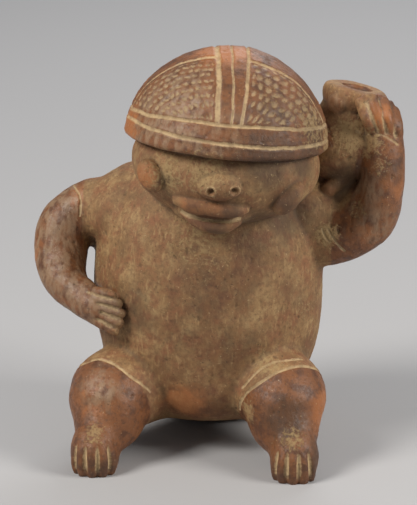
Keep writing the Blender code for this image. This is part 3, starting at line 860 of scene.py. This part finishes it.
store(skin, "line", np.maximum(lines, np.where(nostrils > -0.6, -nostrils * 0.6, -1.0)))
store(skin, "dab", dabs)
store(skin, "groove", grooves * np.where(on_hands, 0.55, 1.0))
store(skin, "slip", slip)
store(skin, "tint", spots(points, TINT))
store(skin, "orange_and_highlight", spots(points, ORANGE_AND_HIGHLIGHT))
# Smoke clouds and painted shade, and the feet darker towards the floor.
store(skin, "smoke_and_shade", np.maximum(spots(points, SMOKE_AND_SHADE), darker_towards_floor))
store(skin, "polish_and_sheen", spots(points, POLISH_AND_SHEEN))
store(skin, "worn", worn)
# Hollows: earth in the cuts, and painted shade in the cuts and in the folds between limbs.
store(skin, "hollow_dirt_and_shade", relief_mark(-fine_relief / 0.045, 0.6, -broad_relief / 0.22))
store(skin, "ridge", relief_mark(fine_relief / 0.05, 0.5, broad_relief / 0.25))
print(f"{len(skin.attributes)} attributes on the skin")

# %% Thinning, the jar's hollow and flat soles
MOST_TRIANGLES = 188000


def finished(mesh):
    """The skin thinned to the number of triangles that a part needs, with the jar's hollow cut out."""
    item = new_object("clay_fine", mesh)
    mesh.calc_loop_triangles()
    thin = item.modifiers.new("Thin", "DECIMATE")
    thin.ratio = min(1.0, MOST_TRIANGLES / len(mesh.loop_triangles))
    thin.use_collapse_triangulate = True
    cutter = new_object("hollow_cutter", jar_hollow())
    cut = item.modifiers.new("Hollow", "BOOLEAN")
    cut.operation = "DIFFERENCE"
    cut.object = cutter
    mesh = evaluated_mesh(item)
    bpy.data.objects.remove(cutter, do_unlink=True)
    return mesh


def crumbs(shape, most=400):
    """The vertices of small loose bits, which a cut can leave behind."""
    seen, loose = set(), []
    for start in shape.verts:
        if start in seen:
            continue
        bit, waiting = {start}, [start]
        while waiting:
            here = waiting.pop()
            for edge in here.link_edges:
                there = edge.other_vert(here)
                if there not in bit:
                    bit.add(there)
                    waiting.append(there)
        seen |= bit
        if len(bit) < most:
            loose += bit
    return loose


def flat_soles(mesh):
    """Cuts the mesh at the ground, closes the soles and brings the mesh to metres in its place."""
    shape = bmesh.new()
    shape.from_mesh(mesh)
    loose = crumbs(shape)
    print(f"{len(loose)} loose vertices removed")
    bmesh.ops.delete(shape, geom=loose, context="VERTS")
    cut = bmesh.ops.bisect_plane(shape, geom=shape.verts[:] + shape.edges[:] + shape.faces[:],
                                 dist=0.0001, plane_co=(0, 0, 0), plane_no=(0, 0, -1), clear_outer=True)
    rims = [item for item in cut["geom_cut"] if isinstance(item, bmesh.types.BMEdge)]
    soles = bmesh.ops.holes_fill(shape, edges=rims, sides=0)["faces"]
    bmesh.ops.triangulate(shape, faces=soles)
    bmesh.ops.scale(shape, vec=(UNIT, UNIT, UNIT), verts=shape.verts)
    places = np.array([vert.co for vert in shape.verts])
    middle = (places.min(axis=0) + places.max(axis=0)) / 2.0
    wanted = (node_low + node_high) / 2.0
    bmesh.ops.translate(shape, verts=shape.verts,
                        vec=(wanted.x - middle[0], wanted.y - middle[1], 0.0))
    for face in shape.faces:
        face.smooth = True
    shape.to_mesh(mesh)
    shape.free()
    return mesh


figure = new_object("clay_figure", flat_soles(finished(skin)))
print(f"{len(figure.data.polygons)} faces in the finished figure")

# %% [markdown]
# ## Fired clay
# The material is built up in the order that the surface was: pale clay with grit in it, red slip over part
# of it, polish, smoke, wear that takes the slip off the ridges, and last the earth that filled the cuts.
# Dark earth with painted shade fills the hollows and folds, and the smoke, polish and bright slip carry
# painted shade, sheen, highlights and rim light.
# Each layer is a colour and a mask. One small node group makes every mask ragged: it adds noise
# to a value and cuts it off softly, so no edge of paint or dirt runs straight.

# %% Node helpers
def ragged_group():
    """Adds noise to a mask and sharpens its edge."""
    group = bpy.data.node_groups.new("ragged_mask", "ShaderNodeTree")
    for name, kind, value in (("Mask", "NodeSocketFloat", 0.0), ("Vector", "NodeSocketVector", None),
                              ("Scale", "NodeSocketFloat", 400.0), ("Noise", "NodeSocketFloat", 0.5),
                              ("Edge", "NodeSocketFloat", 0.5), ("Softness", "NodeSocketFloat", 0.1)):
        socket = group.interface.new_socket(name, in_out="INPUT", socket_type=kind)
        if value is not None:
            socket.default_value = value
    group.interface.new_socket("Mask", in_out="OUTPUT", socket_type="NodeSocketFloat")
    nodes, link = group.nodes, group.links.new
    inputs, outputs = nodes.new("NodeGroupInput"), nodes.new("NodeGroupOutput")
    noise = nodes.new("ShaderNodeTexNoise")
    noise.inputs["Detail"].default_value = 5.0
    noise.inputs["Roughness"].default_value = 0.62
    link(inputs.outputs["Vector"], noise.inputs["Vector"])
    link(inputs.outputs["Scale"], noise.inputs["Scale"])
    centred = nodes.new("ShaderNodeMath")
    centred.operation = "SUBTRACT"
    centred.inputs[1].default_value = 0.5
    link(noise.outputs["Fac"], centred.inputs[0])
    added = nodes.new("ShaderNodeMath")
    added.operation = "MULTIPLY_ADD"
    link(centred.outputs[0], added.inputs[0])
    link(inputs.outputs["Noise"], added.inputs[1])
    link(inputs.outputs["Mask"], added.inputs[2])
    low, high = nodes.new("ShaderNodeMath"), nodes.new("ShaderNodeMath")
    low.operation, high.operation = "SUBTRACT", "ADD"
    step = nodes.new("ShaderNodeMapRange")
    step.interpolation_type = "SMOOTHSTEP"
    for side, socket in ((low, "From Min"), (high, "From Max")):
        link(inputs.outputs["Edge"], side.inputs[0])
        link(inputs.outputs["Softness"], side.inputs[1])
        link(side.outputs[0], step.inputs[socket])
    link(added.outputs[0], step.inputs["Value"])
    link(step.outputs["Result"], outputs.inputs["Mask"])
    return group


class Layers:
    """A material's node tree with short calls for the few nodes that the clay needs."""

    def __init__(self, name):
        self.material = bpy.data.materials.new(name)
        self.material.use_nodes = True
        self.nodes = self.material.node_tree.nodes
        self.link = self.material.node_tree.links.new
        self.shader = self.nodes["Principled BSDF"]
        self.place = self.nodes.new("ShaderNodeTexCoord").outputs["Object"]

    def give(self, socket, value):
        if isinstance(value, bpy.types.NodeSocket):
            self.link(value, socket)
        else:
            socket.default_value = value

    def math(self, operation, *values):
        node = self.nodes.new("ShaderNodeMath")
        node.operation = operation
        for socket, value in zip(node.inputs, values):
            self.give(socket, value)
        return node.outputs[0]

    def noise(self, size, detail=4.0, stretch=None, roughness=0.6):
        """Noise whose blotches are about size millimetres across."""
        place = self.place
        if stretch:
            mapping = self.nodes.new("ShaderNodeMapping")
            mapping.inputs["Scale"].default_value = stretch
            self.link(place, mapping.inputs["Vector"])
            place = mapping.outputs[0]
        node = self.nodes.new("ShaderNodeTexNoise")
        node.inputs["Scale"].default_value = 1000.0 / size
        node.inputs["Detail"].default_value = detail
        node.inputs["Roughness"].default_value = roughness
        self.link(place, node.inputs["Vector"])
        return node.outputs["Fac"]

    def step(self, value, low, high):
        node = self.nodes.new("ShaderNodeMapRange")
        node.interpolation_type = "SMOOTHSTEP"
        self.give(node.inputs["Value"], value)
        node.inputs["From Min"].default_value = low
        node.inputs["From Max"].default_value = high
        return node.outputs["Result"]

    def mark(self, name):
        node = self.nodes.new("ShaderNodeAttribute")
        node.attribute_name = name
        return node.outputs["Fac"]

    def ragged(self, mask, size, noise, edge, softness):
        node = self.nodes.new("ShaderNodeGroup")
        node.node_tree = RAGGED
        self.link(self.place, node.inputs["Vector"])
        for name, value in (("Mask", mask), ("Scale", 1000.0 / size), ("Noise", noise),
                            ("Edge", edge), ("Softness", softness)):
            self.give(node.inputs[name], value)
        return node.outputs["Mask"]

    def times(self, value, factor):
        return self.math("MULTIPLY", value, factor)

    def over(self, below, above, mask, strength=None):
        """One colour laid over another where the mask lets it, at some strength."""
        node = self.nodes.new("ShaderNodeMix")
        node.data_type = "RGBA"
        self.give(node.inputs["Factor"], self.times(mask, strength) if strength else mask)
        for socket, value in ((node.inputs[6], below), (node.inputs[7], above)):
            self.give(socket, value if isinstance(value, bpy.types.NodeSocket) else (*value, 1.0))
        return node.outputs[2]


RAGGED = ragged_group()

# %% Colours
BUFF = (0.262, 0.147, 0.061)
PALE_BUFF = (0.430, 0.276, 0.124)
DEEP_BUFF = (0.125, 0.064, 0.029)
PINK = (0.255, 0.110, 0.048)
RED = (0.196, 0.072, 0.025)
DARK_RED = (0.080, 0.031, 0.015)
BRIGHT_RED = (0.400, 0.140, 0.040)
# Colour of burnished slip, also used as a painted sheen.
BURNISH_AND_SHEEN = (0.305, 0.196, 0.115)
# Dark colour for smoke clouds and for painted shade.
SOOT_AND_SHADE = (0.052, 0.029, 0.015)
CREAM = (0.560, 0.405, 0.220)
CRUST = (0.390, 0.270, 0.122)
# Dark earth, also painted shade in hollows and the colour of dark grit.
DIRT_AND_SHADE = (0.066, 0.038, 0.017)


def clay_colour(clay):
    """Bare buff clay with pale and pinkish clouds, brown stains and short brown streaks."""
    bare = clay.over(BUFF, PALE_BUFF, clay.step(clay.noise(8.0, detail=6.0), 0.44, 0.72))
    bare = clay.over(bare, PINK, clay.step(clay.noise(5.0, detail=6.0), 0.40, 0.68))
    stain = clay.step(clay.noise(1.5, detail=8.0, roughness=0.78), 0.42, 0.66)
    bare = clay.over(bare, DEEP_BUFF, stain, 0.60)
    streak = clay.step(clay.noise(1.3, detail=5.0, stretch=(1.0, 1.0, 0.35)), 0.52, 0.68)
    bare = clay.over(bare, PALE_BUFF, streak, 0.55)
    cloud = clay.step(clay.noise(14.0), 0.46, 0.66)
    return clay.over(bare, DEEP_BUFF, cloud, 0.40)


def slip_colour(clay):
    """Red slip with darker clouds, bright fired patches with painted highlights and rim light, and grey
    burnished streaks with a painted sheen.
    """
    red = clay.over(RED, DARK_RED, clay.step(clay.noise(5.0), 0.46, 0.62), 0.8)
    speckle = clay.step(clay.noise(1.6, detail=6.0), 0.52, 0.64)
    red = clay.over(red, DARK_RED, speckle, 0.55)
    # Bright fired patches with painted highlights and rim light.
    glow_and_highlight = clay.ragged(clay.mark("orange_and_highlight"), 4.0, 0.9, 0.42, 0.22)
    red = clay.over(red, BRIGHT_RED, glow_and_highlight, 0.80)
    # Grey burnish with a painted sheen over the slip.
    streaks = clay.step(clay.noise(2.4, stretch=(1.0, 1.0, 0.35)), 0.36, 0.62)
    grey_sheen = clay.times(clay.ragged(clay.mark("polish_and_sheen"), 5.0, 0.8, 0.42, 0.30), streaks)
    return clay.over(red, BURNISH_AND_SHEEN, grey_sheen, 0.76)


def fired_clay():
    """Clay, slip, wear, smoke and painted shade, crust, earth and painted shade in hollows, and white lines
    in layers, then shine and grain.
    """
    clay = Layers("fired_clay")
    bare = clay_colour(clay)
    red = slip_colour(clay)
    worn = clay.mark("worn")
    ridge = clay.mark("ridge")

    cover = clay.ragged(clay.mark("slip"), 3.0, 0.9, 0.0, 0.16)
    loss = clay.math("ADD", clay.times(worn, 0.60), clay.times(ridge, 0.30))
    lost = clay.ragged(loss, 1.5, 1.5, 0.62, 0.16)
    cover = clay.times(cover, clay.math("SUBTRACT", 1.0, clay.times(lost, 0.9)))
    colour = clay.over(bare, red, cover, 0.94)
    tint = clay.ragged(clay.mark("tint"), 2.6, 0.7, 0.45, 0.3)
    colour = clay.over(colour, red, tint, 0.70)
    # Smoke clouds and painted shade, laid on in the soot colour.
    soot_and_shade = clay.ragged(clay.mark("smoke_and_shade"), 4.0, 0.9, 0.45, 0.30)
    colour = clay.over(colour, SOOT_AND_SHADE, soot_and_shade, 0.66)

    crust = clay.ragged(worn, 1.3, 1.5, 0.52, 0.16)
    colour = clay.over(colour, CRUST, crust, 0.62)
    # Dark earth in hollows, and painted shade in folds and cuts.
    dirt_and_shade = clay.ragged(clay.mark("hollow_dirt_and_shade"), 1.2, 0.9, 0.60, 0.50)
    colour = clay.over(colour, DIRT_AND_SHADE, dirt_and_shade, 0.48)

    line = clay.ragged(clay.mark("line"), 1.1, 0.95, 0.22, 0.28)
    dab = clay.ragged(clay.mark("dab"), 0.9, 0.95, 0.24, 0.36)
    groove = clay.ragged(clay.mark("groove"), 0.9, 0.8, 0.35, 0.30)
    faded = clay.math("MULTIPLY_ADD", clay.step(clay.noise(3.0), 0.40, 0.62), -0.40, 1.0)
    faded = clay.times(faded, clay.math("MULTIPLY_ADD", worn, -0.45, 1.0))
    fill = clay.math("MAXIMUM", clay.times(line, 0.84), clay.times(dab, 0.58))
    fill = clay.math("MAXIMUM", clay.times(fill, faded), clay.times(groove, 0.90))
    colour = clay.over(colour, CREAM, fill)

    dark_grit = clay.step(clay.noise(0.85, detail=2.0), 0.66, 0.72)
    pale_grit = clay.step(clay.noise(0.95, detail=2.0), 0.68, 0.74)
    colour = clay.over(colour, DIRT_AND_SHADE, dark_grit, 0.7)
    colour = clay.over(colour, CREAM, pale_grit, 0.45)
    clay.link(colour, clay.shader.inputs["Base Color"])

    shine = clay.times(cover, clay.math("SUBTRACT", 1.0, clay.math("MAXIMUM", crust, fill)))
    shine = clay.times(shine, clay.step(clay.noise(2.0), 0.25, 0.60))
    rough = clay.math("MULTIPLY_ADD", shine, -0.32, 0.72)
    clay.link(rough, clay.shader.inputs["Roughness"])
    clay.shader.inputs["Specular IOR Level"].default_value = 0.45

    grain = clay.times(clay.noise(0.45, detail=3.0, roughness=0.7), 0.55)
    scrape = clay.times(clay.noise(1.1, stretch=(1.0, 1.0, 0.4)), 0.8)
    rubble = clay.times(clay.noise(0.8, detail=6.0, roughness=0.75),
                        clay.math("MULTIPLY_ADD", crust, 1.6, 0.25))
    height = clay.math("ADD", clay.math("ADD", grain, scrape), rubble)
    height = clay.math("SUBTRACT", height, clay.times(dark_grit, 0.6))
    bump = clay.nodes.new("ShaderNodeBump")
    bump.inputs["Strength"].default_value = 0.62
    bump.inputs["Distance"].default_value = 0.00035
    clay.link(height, bump.inputs["Height"])
    clay.link(bump.outputs["Normal"], clay.shader.inputs["Normal"])
    return clay.material


figure.data.materials.clear()
figure.data.materials.append(fired_clay())
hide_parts("figurine")
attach(figure, "root")
print(f"{len(figure.active_material.node_tree.nodes)} nodes in the clay")

# %% [markdown]
# ## Floor and light
# The figure stands on a plain pale floor. A broad warm light from high on the camera's left models the
# forms, a weaker one from its right draws the raised arm, one from behind catches the top edges, and the
# sky fills the rest.

# %% Floor and lights
def floor():
    shape = bmesh.new()
    bmesh.ops.create_grid(shape, x_segments=1, y_segments=1, size=3.0)
    plane = new_object("floor", as_mesh(shape))
    material = bpy.data.materials.new("pale_floor")
    material.use_nodes = True
    shader = material.node_tree.nodes["Principled BSDF"]
    shader.inputs["Base Color"].default_value = (0.42, 0.42, 0.43, 1.0)
    shader.inputs["Roughness"].default_value = 0.85
    plane.data.materials.append(material)
    return plane


def soft_light(name, place, size, power, colour=(1.0, 1.0, 1.0)):
    data = bpy.data.lights.new(name, "AREA")
    data.size = size
    data.energy = power
    data.color = colour
    light = bpy.data.objects.new(name, data)
    light.location = place
    light.rotation_euler = (Vector(place) - AIM).to_track_quat("Z", "Y").to_euler()
    bpy.context.scene.collection.objects.link(light)
    return light


WARM = (1.0, 0.96, 0.90)
floor()
soft_light("front_light", (-0.70, -0.50, 0.85), 0.42, 12.5, WARM)
soft_light("side_light", (0.80, -0.25, 0.55), 0.40, 7.0, WARM)
soft_light("back_light", (0.15, 0.90, 0.80), 0.50, 4.5)
world = bpy.data.worlds.new("studio")
world.use_nodes = True
sky = world.node_tree.nodes["Background"]
sky.inputs["Color"].default_value = (0.84, 0.86, 0.90, 1.0)
sky.inputs["Strength"].default_value = 0.22
bpy.context.scene.world = world
bpy.context.scene.view_settings.view_transform = "Standard"
